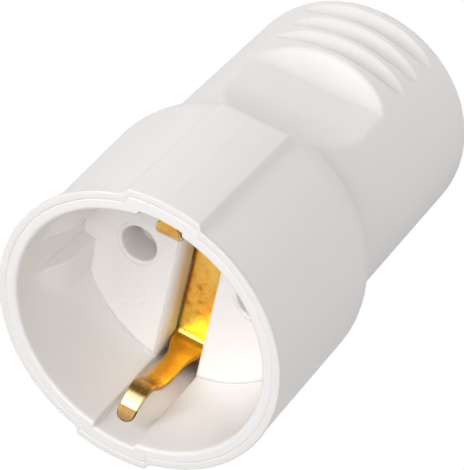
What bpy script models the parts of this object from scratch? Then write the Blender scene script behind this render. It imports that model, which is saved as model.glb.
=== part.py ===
"""A round earthed extension socket that is wired by hand.

It stands on the rear end of its handle with the mouth up. The origin is the centre of the rear
face, +Z runs along the axis to the mouth, the two contact holes lie along X and the two earth
tongues lie along Y. A depth is measured down from the plane of the mouth's rim.
"""
import math

import bmesh
import bpy
import numpy as np
from mathutils import Matrix

# Driving dimensions in metres

LENGTH = 0.0717                 # rear face to rim
CLEARANCE = 0.0003              # left between pieces that touch
PAST = 0.001                    # how far a cutter runs past the face that it opens

RIM_RADIUS = 0.02215            # outside of the shell at the mouth
RIM_ROUND = 0.0004
HEAD_INSET = 0.00010            # head's outside, in from the rim's
BAND_RISE = 0.00105             # raised band over each earth tongue, out from the rim
BAND_HALF_ANGLE = 0.250
SEAM_RUN = 0.02                 # angle in which the seam steps out at the side of a band
SHOULDER_OVERLAP = 0.0005       # how far the shoulder starts ahead of the carrier's back
SHOULDER_LENGTH = 0.00636
SHOULDER_TURN = 0.80            # angle of the arc from the head to the handle
HANDLE_ROOM = 0.00114           # between the contact chambers' corners and the bore round them
HANDLE_WALL = 0.0022
REAR_ROUND = 0.0044
REAR_WALL = 0.0030
CABLE_HOLE_RADIUS = 0.0045
CABLE_HOLE_ROUND = 0.0012

SCOOP_DEPTH = 0.00334           # thumb scoop's flat floor below the handle's round
SCOOP_RUN_IN = 0.0220           # radius of its long front ramp
SCOOP_CORNER = 0.0030
SCOOP_RAMP_SHARE = 0.357        # places along the handle, as shares of its length
SCOOP_FLOOR_SHARE = 0.522
SCOOP_END_SHARE = 0.589
GRIP_START_SHARE = 0.6126
GRIP_PITCH_SHARE = 0.1028
GRIP_GROOVE_SHARE = 0.0844
GRIP_COUNT = 3
GRIP_DEPTH = 0.00095
GRIP_SPREAD = 0.600             # angle from a groove's middle to its tip, about the handle's axis

SHELL_LIP = 0.00105             # shell's thickness at the mouth
INSERT_FLANGE = 0.0030          # how deep the flange goes into the shell
FLANGE_STEP = 0.0007
INSERT_BAND_RISE = 0.0011
CUP_WALL = 0.0008
RECESS_DRAFT = 0.0004           # how much smaller the recess is at its floor
RECESS_EDGE = 0.0005
RECESS_DEPTH = 0.0175
FLOOR_THICKNESS = 0.0044
GUIDE_RISE = 0.0027             # side guides, in from the recess's wall
GUIDE_START = 0.0036
GUIDE_GROOVE = 0.0058           # width of the groove down the middle of a guide
GUIDE_GROOVE_DRAFT = 0.0002
EARTH_GROOVE_DEPTH = 0.0007
PIN_SPACING = 0.0190
PIN_HOLE_RADIUS = 0.00270
PIN_LEAD_IN = 0.0003
PIN_COLLAR = 0.0015             # collar round each contact hole, behind the floor
PIN_COLLAR_WALL = 0.0008
LATCH_WIDTH = 0.0050
LATCH_RISE = 0.0007
LATCH_LENGTH = 0.0035
LATCH_SETBACK = 0.0010          # latch's front, ahead of the recess's floor
RELIEF_WIDTH = 0.0007           # slit beside each latch, seen on the rim
RELIEF_LENGTH = 0.0022

STRIP_THICKNESS = 0.0008        # earth strip of sheet brass
STRIP_WIDTH = 0.0063
STRIP_BEND_INSET = 0.0030       # where the strip starts to turn up, in from the recess's wall
TONGUE_WIDTH = 0.0036
TONGUE_TIP_WIDTH = 0.0027
TONGUE_ROOT_INSET = 0.0014      # insets of the tongue from the recess's wall
TONGUE_NIP_INSET = 0.0046
TONGUE_TIP_INSET = 0.0012
TONGUE_NIP_DEPTH = 0.0064
TONGUE_TIP_DEPTH = 0.0022

CARRIER_PLATE = 0.0027
CHAMBER_WALL = 0.0012
TAIL_THICKNESS = 0.0026
TAIL_ROOM = 0.0038              # between the tail's end and the handle's rear wall

SLEEVE_BORE_RADIUS = 0.00245
SLEEVE_RADIUS = 0.0034
SLEEVE_LENGTH = 0.0135
SLEEVE_SLIT = 0.0008
BLOCK_WIDTH = 0.0076
BLOCK_LENGTH = 0.0085
WIRE_HOLE_RADIUS = 0.0020
SPRING_GROOVE = 0.0045          # from the sleeve's open end to its spring groove
SPRING_HEIGHT = 0.0040
SPRING_RECESS = 0.00045
SPRING_THICKNESS = 0.0005

SCREW_RADIUS = 0.0015           # terminal screws
SCREW_HEAD_RADIUS = 0.0023
SCREW_HEAD = 0.0020
SCREW_SLOT_WIDTH = 0.0007
SCREW_SLOT_DEPTH = 0.0009
CLAMP_PLATE_WIDTH = 0.0066
CLAMP_PLATE_THICKNESS = 0.0010
CARRIER_SCREW_X = 0.0072
CARRIER_SCREW_Y = 0.0113
CARRIER_SCREW_GRIP = 0.0031     # length held in the insert's floor

CORD_RADIUS = 0.0037            # thickest cord that the clamp takes
SADDLE_WALL = 0.0020
SADDLE_LENGTH = 0.0060
SADDLE_EAR = 0.0020
SADDLE_EDGE = 0.0006            # saddle beyond its screw heads

ROUND_STEPS = 24                # facets round small turned pieces
SIDE_STEPS = (0.0, 0.12, 0.35, 1.0)

# Depths that follow from them

floor_back = RECESS_DEPTH + FLOOR_THICKNESS
strip_front = floor_back + CLEARANCE
strip_back = strip_front + STRIP_THICKNESS
carrier_front = strip_back + CLEARANCE
carrier_back = carrier_front + CARRIER_PLATE
contact_front = floor_back + PIN_COLLAR + CLEARANCE
block_front = contact_front + SLEEVE_LENGTH
block_back = block_front + BLOCK_LENGTH
chamber_end = block_back + CLEARANCE
towers_end = chamber_end + CHAMBER_WALL
tail_end = LENGTH - REAR_WALL - TAIL_ROOM
latch_depth = RECESS_DEPTH - LATCH_SETBACK
head_length = carrier_back - SHOULDER_OVERLAP
handle_length = LENGTH - head_length
scoop_ramp_end = head_length + SCOOP_RAMP_SHARE * handle_length
scoop_floor_end = head_length + SCOOP_FLOOR_SHARE * handle_length
scoop_end = head_length + SCOOP_END_SHARE * handle_length
grip_start = head_length + GRIP_START_SHARE * handle_length
grip_pitch = GRIP_PITCH_SHARE * handle_length
grip_groove = GRIP_GROOVE_SHARE * handle_length

# Radii and widths that follow from them

pin_x = PIN_SPACING / 2
chamber_half = BLOCK_WIDTH / 2 + CLEARANCE
tower_half = chamber_half + CHAMBER_WALL
slot_width = STRIP_WIDTH + 2 * CLEARANCE
clamp_screw_x = CORD_RADIUS + SADDLE_WALL + CLEARANCE + SCREW_HEAD_RADIUS
tail_half_width = clamp_screw_x + SCREW_HEAD_RADIUS + SADDLE_EDGE
head_radius = RIM_RADIUS - HEAD_INSET
band_radius = RIM_RADIUS + BAND_RISE
handle_bore_radius = math.hypot(pin_x + tower_half, tower_half) + HANDLE_ROOM
handle_radius = handle_bore_radius + HANDLE_WALL
scoop_height = handle_radius - SCOOP_DEPTH
handle_bore_flat = scoop_height - HANDLE_WALL
insert_flange_radius = RIM_RADIUS - SHELL_LIP - CLEARANCE
insert_wall_radius = insert_flange_radius - FLANGE_STEP
recess_radius = insert_wall_radius - CUP_WALL
guide_flat = recess_radius - GUIDE_RISE
earth_groove_radius = recess_radius + EARTH_GROOVE_DEPTH
strip_bend = recess_radius - STRIP_BEND_INSET
tongue_root_radius = recess_radius - TONGUE_ROOT_INSET
tongue_nip_radius = recess_radius - TONGUE_NIP_INSET
tongue_tip_radius = recess_radius - TONGUE_TIP_INSET


def clear_scene():
    for item in list(bpy.data.objects):
        bpy.data.objects.remove(item, do_unlink=True)


def finish(name, colour, roughness, metallic=0.0):
    """Makes a piece's own material."""
    material = bpy.data.materials.new(name)
    material.use_nodes = True
    shader = material.node_tree.nodes["Principled BSDF"]
    shader.inputs["Base Color"].default_value = (*colour, 1.0)
    shader.inputs["Roughness"].default_value = roughness
    shader.inputs["Metallic"].default_value = metallic
    return material


def white_plastic(name):
    return finish(name, (0.80, 0.78, 0.76), 0.25)


def brass(name):
    return finish(name, (0.78, 0.55, 0.18), 0.28, 1.0)


def steel(name):
    return finish(name, (0.62, 0.62, 0.64), 0.32, 1.0)


def make_object(name, shape, material=None):
    """Turns an edited shape into an object with its faces pointing out."""
    bmesh.ops.remove_doubles(shape, verts=shape.verts, dist=1e-7)
    bmesh.ops.recalc_face_normals(shape, faces=shape.faces)
    mesh = bpy.data.meshes.new(name)
    shape.to_mesh(mesh)
    shape.free()
    mesh.shade_smooth()
    mesh.set_sharp_from_angle(angle=math.radians(30))
    if material:
        mesh.materials.append(material)
    item = bpy.data.objects.new(name, mesh)
    bpy.context.scene.collection.objects.link(item)
    return item


def boolean(target, operation, *tools):
    """Cuts or joins the tools, which then stay in the file as hidden guides."""
    for tool in tools:
        step = target.modifiers.new(tool.name, "BOOLEAN")
        step.operation = operation
        step.solver = "EXACT"
        step.object = tool
        tool.hide_render = True
        tool.display_type = "WIRE"


def cut(target, *tools):
    boolean(target, "DIFFERENCE", *tools)


def join(target, *tools):
    boolean(target, "UNION", *tools)


def add_stack(shape, levels):
    """Skins closed outlines of equal count, each at its depth, and caps both ends."""
    rings = []
    for outline, depth in levels:
        rings.append([shape.verts.new((x, y, LENGTH - depth)) for x, y in outline])
    count = len(rings[0])
    for upper, lower in zip(rings, rings[1:]):
        for i in range(count):
            j = (i + 1) % count
            shape.faces.new((upper[i], upper[j], lower[j], lower[i]))
    shape.faces.new(rings[0])
    shape.faces.new(list(reversed(rings[-1])))


def stack(name, levels, material=None):
    shape = bmesh.new()
    add_stack(shape, levels)
    return make_object(name, shape, material)


def circle(radius, steps=ROUND_STEPS):
    turn = np.arange(steps) * 2 * math.pi / steps
    return np.column_stack([radius * np.cos(turn), radius * np.sin(turn)])


def turned(name, profile, material=None, steps=ROUND_STEPS):
    """A solid of circles about +Z from (radius, depth) pairs."""
    return stack(name, [(circle(radius, steps), depth) for radius, depth in profile], material)


def ring(name, profile, material=None, steps=ROUND_STEPS):
    """Turns a closed (radius, depth) outline that stays clear of the axis."""
    shape = bmesh.new()
    loop = [shape.verts.new((radius, 0, LENGTH - depth)) for radius, depth in profile]
    edges = [shape.edges.new((loop[i], loop[(i + 1) % len(loop)])) for i in range(len(loop))]
    bmesh.ops.spin(shape, geom=loop + edges, cent=(0, 0, 0), axis=(0, 0, 1),
                   angle=2 * math.pi, steps=steps, use_merge=True)
    return make_object(name, shape, material)


def box(name, low, high, material=None):
    """A block between two corners, given as x, y and depth."""
    outline = [(low[0], low[1]), (high[0], low[1]), (high[0], high[1]), (low[0], high[1])]
    return stack(name, [(outline, low[2]), (outline, high[2])], material)


def moved(item, x=0.0, y=0.0, z=0.0):
    item.location = (x, y, z)
    return item


def arc(centre, radius, start, end, steps):
    turn = np.linspace(start, end, steps + 1)
    return [(centre[0] + radius * math.cos(a), centre[1] + radius * math.sin(a)) for a in turn]


# Outlines of the head, which has a raised band over each earth tongue

def directions(half, run):
    """Angles from +Y, closer together at the sides of the two bands."""
    top = np.linspace(0, half, 3)[:-1]
    side = half + run * np.array(SIDE_STEPS)
    plain = np.linspace(half + run, math.pi / 2, 14)[1:]
    quarter = np.concatenate([top, side, plain])
    half_turn = np.concatenate([quarter, math.pi - quarter[-2::-1]])
    return np.concatenate([half_turn, 2 * math.pi - half_turn[-2:0:-1]])


def banded(radius, rise, half, run, flat=None):
    """A circle with two bands whose sides are hollow fillets, and flats along X where asked."""
    turn = directions(half, run)
    off = np.abs((turn + math.pi / 2) % math.pi - math.pi / 2)
    share = np.clip((off - half) / run, 0, 1)
    reach = radius + rise * (1 - np.sqrt(1 - (1 - share) ** 2))
    if flat is not None:
        reach = np.minimum(reach, flat / np.maximum(np.abs(np.cos(turn)), 1e-6))
    return np.column_stack([reach * np.sin(turn), reach * np.cos(turn)])


def build_shell():
    """Head and handle, moulded in one piece, hollow from the mouth to the cable hole."""
    run = (band_radius - head_radius) / head_radius

    def outside(radius, top=None):
        return banded(radius, (top or radius) - radius, BAND_HALF_ANGLE, run)

    levels = [(outside(RIM_RADIUS - RIM_ROUND, band_radius - RIM_ROUND), 0.0),
              (outside(RIM_RADIUS, band_radius), RIM_ROUND),
              (outside(RIM_RADIUS, band_radius), 3 * RIM_ROUND),
              (outside(head_radius, band_radius), 5 * RIM_ROUND),
              (outside(head_radius, band_radius), head_length)]
    angles = np.linspace(0, SHOULDER_TURN, 8)
    band_end = 2
    for i, a in enumerate(angles):
        depth = head_length + SHOULDER_LENGTH * math.sin(a) / math.sin(SHOULDER_TURN)
        drop = (1 - math.cos(a)) / (1 - math.cos(SHOULDER_TURN))
        radius = head_radius + drop * (handle_radius - head_radius)
        if 0 < i <= band_end:
            levels.append((outside(radius, band_radius), depth))
        if i >= band_end:
            levels.append((outside(radius), depth))
    levels.append((outside(handle_radius), LENGTH - REAR_ROUND))
    for a in np.linspace(0, math.pi / 2, 6)[1:]:
        radius = handle_radius - REAR_ROUND * (1 - math.cos(a))
        levels.append((outside(radius), LENGTH - REAR_ROUND * (1 - math.sin(a))))
    shell = stack("shell", levels, white_plastic("shell_plastic"))
    cut(shell, shell_space(), *thumb_scoops(), grip_grooves(), latch_pockets())
    return shell


def shell_space():
    """The bore for the insert, then the flat-sided wire chamber, then the cable hole."""
    half = BAND_HALF_ANGLE
    run = SEAM_RUN

    def bore(radius, rise=0.0, flat=None):
        return banded(radius, rise, half, run, flat)

    lip = insert_flange_radius + CLEARANCE
    lip_rise = band_radius - RIM_RADIUS
    wall = insert_wall_radius + CLEARANCE
    seat = INSERT_FLANGE + CLEARANCE
    seat_end = carrier_back + CLEARANCE
    neck = seat_end + SCREW_HEAD + 2 * CLEARANCE
    chamber_back = LENGTH - REAR_WALL
    hole = CABLE_HOLE_RADIUS
    levels = [(bore(lip, lip_rise), -PAST), (bore(lip, lip_rise), seat),
              (bore(wall, INSERT_BAND_RISE), seat), (bore(wall, INSERT_BAND_RISE), carrier_front),
              (bore(wall), carrier_front), (bore(wall), seat_end),
              (bore(handle_bore_radius), seat_end), (bore(handle_bore_radius), neck),
              (bore(handle_bore_radius, flat=handle_bore_flat), neck + REAR_WALL),
              (bore(handle_bore_radius, flat=handle_bore_flat), chamber_back - REAR_WALL),
              (bore(handle_bore_radius - REAR_WALL, flat=handle_bore_flat - REAR_WALL), chamber_back),
              (bore(hole), chamber_back), (bore(hole), LENGTH - CABLE_HOLE_ROUND),
              (bore(hole + 0.3 * CABLE_HOLE_ROUND), LENGTH - 0.3 * CABLE_HOLE_ROUND),
              (bore(hole + CABLE_HOLE_ROUND), LENGTH), (bore(hole + CABLE_HOLE_ROUND), LENGTH + PAST)]
    return stack("shell_space", levels)


def thumb_scoops():
    """A flat-floored scoop across each side of the handle, with a long ramp from the head."""
    top = band_radius + RIM_ROUND
    centre = (scoop_ramp_end, scoop_height + SCOOP_RUN_IN)
    reach = math.acos((centre[1] - top) / SCOOP_RUN_IN)
    profile = arc(centre, SCOOP_RUN_IN, -math.pi / 2 - reach, -math.pi / 2, 12)
    lift = handle_radius - scoop_height
    slope = math.atan2(lift, scoop_end - scoop_floor_end)
    corner = (scoop_floor_end - SCOOP_CORNER * math.tan(slope / 2), scoop_height + SCOOP_CORNER)
    profile += arc(corner, SCOOP_CORNER, -math.pi / 2, slope - math.pi / 2, 4)
    profile += [(scoop_end, handle_radius), (scoop_end, top)]
    scoops = []
    for name, side in (("front", -1), ("back", 1)):
        shape = bmesh.new()
        wide = band_radius
        faces = [[shape.verts.new((x, side * height, LENGTH - depth)) for depth, height in profile]
                 for x in (-wide, wide)]
        count = len(profile)
        for i in range(count):
            j = (i + 1) % count
            shape.faces.new((faces[0][i], faces[0][j], faces[1][j], faces[1][i]))
        shape.faces.new(faces[0])
        shape.faces.new(list(reversed(faces[1])))
        scoops.append(make_object("thumb_scoop_" + name, shape))
    return scoops


def grip_grooves():
    """Hollow grooves turned about an axis off the handle's own, so that they run out at both ends.

    Across a groove, the hollow is a parabola that goes a little past the handle's surface.
    """
    wide = handle_radius * math.sin(GRIP_SPREAD)
    bottom = handle_radius - GRIP_DEPTH
    sagitta = bottom - handle_radius * math.cos(GRIP_SPREAD)
    turning = (wide ** 2 + sagitta ** 2) / (2 * sagitta)
    outer = turning + 3 * GRIP_DEPTH
    shape = bmesh.new()
    spread = math.asin(min(1.0, 1.2 * wide / turning))
    rise = 1.15
    reach = grip_groove / 2 * math.sqrt(rise)
    for side in (-1, 1):
        for i in range(GRIP_COUNT):
            middle = grip_start + i * grip_pitch + grip_groove / 2
            hollow = [(turning + rise * GRIP_DEPTH * s ** 2, middle + s * reach) for s in np.linspace(-1, 1, 7)]
            profile = [(outer, middle - reach)] + hollow + [(outer, middle + reach)]
            sections = []
            for a in np.linspace(-spread, spread, 12):
                section = []
                for radius, depth in profile:
                    y = side * (bottom - turning + radius * math.cos(a))
                    section.append(shape.verts.new((radius * math.sin(a), y, LENGTH - depth)))
                sections.append(section)
            count = len(profile)
            for near, far in zip(sections, sections[1:]):
                for k in range(count):
                    m = (k + 1) % count
                    shape.faces.new((near[k], near[m], far[m], far[k]))
            shape.faces.new(sections[0])
            shape.faces.new(list(reversed(sections[-1])))
    return make_object("grip_grooves", shape)


def latch_pockets():
    """Pockets in the bore that the insert's two latches snap into."""
    shape = bmesh.new()
    near = insert_wall_radius
    far = insert_wall_radius + INSERT_BAND_RISE + LATCH_RISE + CLEARANCE
    wide = LATCH_WIDTH / 2 + CLEARANCE
    for side in (-1, 1):
        outline = [(-wide, side * near), (wide, side * near), (wide, side * far), (-wide, side * far)]
        add_stack(shape, [(outline, latch_depth - CLEARANCE),
                          (outline, latch_depth + LATCH_LENGTH + CLEARANCE)])
    return make_object("latch_pockets", shape)


def recess_outline(wall, flat, groove):
    """The recess across its axis: round, with two flat guides split by a groove and two earth grooves."""
    half_groove = GUIDE_GROOVE / 2
    half_slot = slot_width / 2
    flat_end = math.sqrt(recess_radius ** 2 - guide_flat ** 2)
    quarter = [(wall, 0.0), (math.sqrt(wall ** 2 - half_groove ** 2), half_groove)]
    for y in np.linspace(half_groove + GUIDE_GROOVE_DRAFT, flat_end, 5):
        y = min(y, 0.99 * wall)
        quarter.append((min(math.sqrt(wall ** 2 - y ** 2), flat), y))
    start = math.atan2(flat_end, math.sqrt(max(wall ** 2 - flat_end ** 2, 1e-9)))
    for a in np.linspace(start, math.acos(half_slot / wall), 9)[1:]:
        quarter.append((wall * math.cos(a), wall * math.sin(a)))
    deep = math.sqrt(groove ** 2 - half_slot ** 2)
    quarter += [(half_slot, deep), (half_slot / 2, math.sqrt(groove ** 2 - half_slot ** 2 / 4))]
    quarter.append((0.0, groove))
    half = quarter + [(-x, y) for x, y in quarter[-2::-1]]
    return half + [(x, -y) for x, y in half[-2:0:-1]]


def recess_space():
    """The whole hollow of the cup, with the slot across its floor for the earth strip."""
    edge = recess_radius + RECESS_EDGE
    full = GUIDE_START + (recess_radius - guide_flat)
    foot = recess_radius - RECESS_DRAFT
    groove = earth_groove_radius
    levels = [(recess_outline(edge, edge, groove + RECESS_EDGE), -PAST),
              (recess_outline(edge, edge, groove + RECESS_EDGE), 0.0),
              (recess_outline(recess_radius, edge, groove), RECESS_EDGE)]
    for share in (0.0, 0.35, 0.7, 1.0):
        depth = GUIDE_START + share * (full - GUIDE_START)
        wall = recess_radius - RECESS_DRAFT * depth / RECESS_DEPTH
        flat = recess_radius + share * (guide_flat - recess_radius)
        levels.append((recess_outline(wall, flat, groove), depth))
    floor = np.array(recess_outline(foot, guide_flat, groove))
    slot = np.column_stack([np.clip(floor[:, 0], -slot_width / 2, slot_width / 2), floor[:, 1]])
    levels += [(floor, RECESS_DEPTH), (slot, RECESS_DEPTH), (slot, floor_back + PAST)]
    return stack("recess_space", levels)


def build_insert():
    """The cup that takes the plug, pushed into the shell and held by two latches."""
    half = BAND_HALF_ANGLE - CLEARANCE / head_radius
    run = SEAM_RUN
    rim = banded(insert_flange_radius, band_radius - RIM_RADIUS, half, run)
    wall = banded(insert_wall_radius, INSERT_BAND_RISE, half, run)
    insert = stack("socket_insert", [(rim, 0.0), (rim, INSERT_FLANGE), (wall, INSERT_FLANGE),
                                     (wall, floor_back)], white_plastic("insert_plastic"))
    join(insert, *latches(), *pin_collars())
    cut(insert, recess_space(), *pin_holes(), screw_sockets(), relief_slits())
    return insert


def latches():
    """A wedge on each band of the cup, square to the mouth and sloping away from it."""
    wedges = []
    root = insert_wall_radius + INSERT_BAND_RISE / 2
    crest = insert_wall_radius + INSERT_BAND_RISE + LATCH_RISE
    wide = LATCH_WIDTH / 2
    for name, side in (("front", -1), ("back", 1)):
        levels = []
        for reach, depth in ((crest, latch_depth), (root, latch_depth + LATCH_LENGTH)):
            outline = [(-wide, side * (root - INSERT_BAND_RISE)), (wide, side * (root - INSERT_BAND_RISE)),
                       (wide, side * reach), (-wide, side * reach)]
            levels.append((outline, depth))
        wedges.append(stack("latch_" + name, levels))
    return wedges


def pin_collars():
    collars = []
    for name, side in (("left", -1), ("right", 1)):
        collar = turned("pin_collar_" + name, [(PIN_HOLE_RADIUS + PIN_COLLAR_WALL, floor_back - PAST),
                                               (PIN_HOLE_RADIUS + PIN_COLLAR_WALL, floor_back + PIN_COLLAR)])
        collars.append(moved(collar, x=side * pin_x))
    return collars


def pin_holes():
    holes = []
    for name, side in (("left", -1), ("right", 1)):
        hole = turned("pin_hole_" + name, [(PIN_HOLE_RADIUS + 2 * PIN_LEAD_IN, RECESS_DEPTH - PIN_LEAD_IN),
                                           (PIN_HOLE_RADIUS, RECESS_DEPTH + PIN_LEAD_IN),
                                           (PIN_HOLE_RADIUS, floor_back + PIN_COLLAR + PAST)])
        holes.append(moved(hole, x=side * pin_x))
    return holes


def screw_places():
    return [(-CARRIER_SCREW_X, -CARRIER_SCREW_Y), (CARRIER_SCREW_X, CARRIER_SCREW_Y)]


def screw_sockets():
    """Blind holes in the back of the floor for the two carrier screws."""
    shape = bmesh.new()
    hole = circle(SCREW_RADIUS + CLEARANCE, 16)
    for x, y in screw_places():
        outline = hole + np.array([x, y])
        add_stack(shape, [(outline, floor_back - CARRIER_SCREW_GRIP - CLEARANCE),
                          (outline, floor_back + PAST)])
    return make_object("screw_sockets", shape)


def relief_slits():
    """Four short slits in the flange, one at each side of the two bands."""
    shape = bmesh.new()
    reach = insert_flange_radius + 2 * (band_radius - RIM_RADIUS)
    inner = insert_flange_radius - CLEARANCE
    for angle in (BAND_HALF_ANGLE, -BAND_HALF_ANGLE, math.pi + BAND_HALF_ANGLE, math.pi - BAND_HALF_ANGLE):
        along = np.array([math.sin(angle), math.cos(angle)])
        across = np.array([along[1], -along[0]]) * RELIEF_WIDTH / 2
        outline = [along * inner - across, along * inner + across,
                   along * reach + across, along * reach - across]
        add_stack(shape, [(outline, -PAST), (outline, RELIEF_LENGTH)])
    return make_object("relief_slits", shape)


def smooth_path(points, steps):
    """A curve through the points: at each of them it runs the way its two neighbours lie."""
    points = [np.array(point) for point in points]
    ends = [2 * points[0] - points[1]] + points + [2 * points[-1] - points[-2]]
    path = []
    for a, b, c, d in zip(ends, ends[1:], ends[2:], ends[3:]):
        for t in np.arange(steps) / steps:
            path.append(0.5 * (2 * b + (c - a) * t + (2 * a - 5 * b + 4 * c - d) * t ** 2
                               + (3 * b - a - 3 * c + d) * t ** 3))
    path.append(points[-1])
    return path


def tongue_stations():
    """Centre line (distance from the axis, depth) and width of one tongue, root to tip."""
    middle = (strip_front + strip_back) / 2
    rise = middle - TONGUE_NIP_DEPTH
    bend = tongue_root_radius - strip_bend
    lean = tongue_root_radius - tongue_nip_radius
    marks = [((strip_bend, middle), STRIP_WIDTH),
             ((strip_bend + 0.7 * bend, middle - 0.3 * bend), STRIP_WIDTH),
             ((tongue_root_radius, middle - bend), 0.9 * STRIP_WIDTH),
             ((tongue_root_radius - 0.08 * lean, middle - 0.32 * rise), TONGUE_WIDTH),
             ((tongue_root_radius - 0.20 * lean, middle - 0.62 * rise), TONGUE_WIDTH),
             ((tongue_root_radius - 0.75 * lean, middle - 0.86 * rise), 0.9 * TONGUE_WIDTH),
             ((tongue_nip_radius, TONGUE_NIP_DEPTH), 0.85 * TONGUE_WIDTH),
             ((0.6 * tongue_nip_radius + 0.4 * tongue_tip_radius,
               0.35 * TONGUE_NIP_DEPTH + 0.65 * TONGUE_TIP_DEPTH), TONGUE_TIP_WIDTH),
             ((tongue_tip_radius, TONGUE_TIP_DEPTH), 0.8 * TONGUE_TIP_WIDTH)]
    line = smooth_path([mark[0] for mark in marks], 4)
    width = np.interp(np.linspace(0, len(marks) - 1, len(line)), range(len(marks)),
                      [mark[1] for mark in marks])
    return line, width


def build_earth_strip():
    """One strip of sheet brass, bent forward at both ends into sprung tongues."""
    line, width = tongue_stations()
    front = [(-reach, depth) for reach, depth in reversed(line)]
    path = np.array(front + list(line))
    widths = np.concatenate([width[::-1], width])
    along = np.gradient(path, axis=0)
    along /= np.linalg.norm(along, axis=1)[:, None]
    normal = np.column_stack([-along[:, 1], along[:, 0]]) * STRIP_THICKNESS / 2
    shape = bmesh.new()
    sections = []
    for point, offset, wide in zip(path, normal, widths):
        corners = []
        for x, side in ((-wide / 2, -1), (wide / 2, -1), (wide / 2, 1), (-wide / 2, 1)):
            y, depth = point + side * offset
            corners.append(shape.verts.new((x, y, LENGTH - depth)))
        sections.append(corners)
    for near, far in zip(sections, sections[1:]):
        for k in range(4):
            m = (k + 1) % 4
            shape.faces.new((near[k], near[m], far[m], far[k]))
    shape.faces.new(sections[0])
    shape.faces.new(list(reversed(sections[-1])))
    strip = make_object("earth_strip", shape, brass("earth_strip_brass"))
    cut(strip, turned("earth_screw_hole", [(SCREW_RADIUS + CLEARANCE, strip_front - PAST),
                                           (SCREW_RADIUS + CLEARANCE, strip_back + PAST)]))
    return strip


def build_carrier():
    """The insulating rear block, with a chamber for each pole contact and a tail for the cord clamp."""
    material = white_plastic("carrier_plastic")
    carrier = turned("contact_carrier", [(insert_wall_radius, carrier_front),
                                         (insert_wall_radius, carrier_back)], material, 64)
    towers = []
    chambers = []
    for name, side in (("left", -1), ("right", 1)):
        x = side * pin_x
        towers.append(box("tower_" + name, (x - tower_half, -tower_half, carrier_front + CLEARANCE),
                          (x + tower_half, tower_half, towers_end)))
        chambers.append(box("chamber_" + name, (x - chamber_half, -chamber_half, carrier_front - PAST),
                            (x + chamber_half, chamber_half, chamber_end)))
        wire = turned("wire_way_" + name, [(WIRE_HOLE_RADIUS + CLEARANCE, chamber_end - PAST),
                                           (WIRE_HOLE_RADIUS + 3 * CLEARANCE, towers_end + PAST)])
        chambers.append(moved(wire, x=x))
        window = turned("screw_window_" + name, [(SCREW_HEAD_RADIUS + CLEARANCE, LENGTH - 2 * tower_half),
                                                 (SCREW_HEAD_RADIUS + CLEARANCE, LENGTH)])
        window.rotation_euler = (math.pi / 2, 0, 0)
        chambers.append(moved(window, x=x, z=LENGTH - terminal_depth()))
    tail_top = CORD_RADIUS + CLEARANCE
    tail = box("tail", (-tail_half_width, tail_top, carrier_front + CLEARANCE),
               (tail_half_width, tail_top + TAIL_THICKNESS, tail_end))
    join(carrier, *towers, tail)
    reach = CLAMP_PLATE_WIDTH / 2 + CLEARANCE
    window = box("earth_window", (-reach, -reach, carrier_front - PAST), (reach, reach, carrier_back + PAST))
    cut(carrier, *chambers, window, carrier_screw_holes(), clamp_screw_holes())
    return carrier


def terminal_depth():
    return block_front + BLOCK_LENGTH / 2


def clamp_depth():
    """Depth of the middle of the cord clamp."""
    return (towers_end + tail_end) / 2


def carrier_screw_holes():
    shape = bmesh.new()
    hole = circle(SCREW_RADIUS + CLEARANCE, 16)
    for x, y in screw_places():
        outline = hole + np.array([x, y])
        add_stack(shape, [(outline, carrier_front - PAST), (outline, carrier_back + PAST)])
    return make_object("carrier_screw_holes", shape)


def clamp_screw_holes():
    """Holes through the tail for the two cord clamp screws."""
    shape = bmesh.new()
    hole = circle(SCREW_RADIUS + CLEARANCE, 16)
    for side in (-1, 1):
        outline = hole + np.array([side * clamp_screw_x, 0.0])
        add_stack(shape, [(outline, LENGTH - CORD_RADIUS), (outline, LENGTH + CORD_RADIUS + 2 * TAIL_THICKNESS)])
    turn = Matrix.Rotation(math.pi / 2, 4, "X")
    bmesh.ops.transform(shape, matrix=turn, verts=shape.verts)
    bmesh.ops.translate(shape, vec=(0, 0, LENGTH - clamp_depth()), verts=shape.verts)
    return make_object("clamp_screw_holes", shape)


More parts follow.
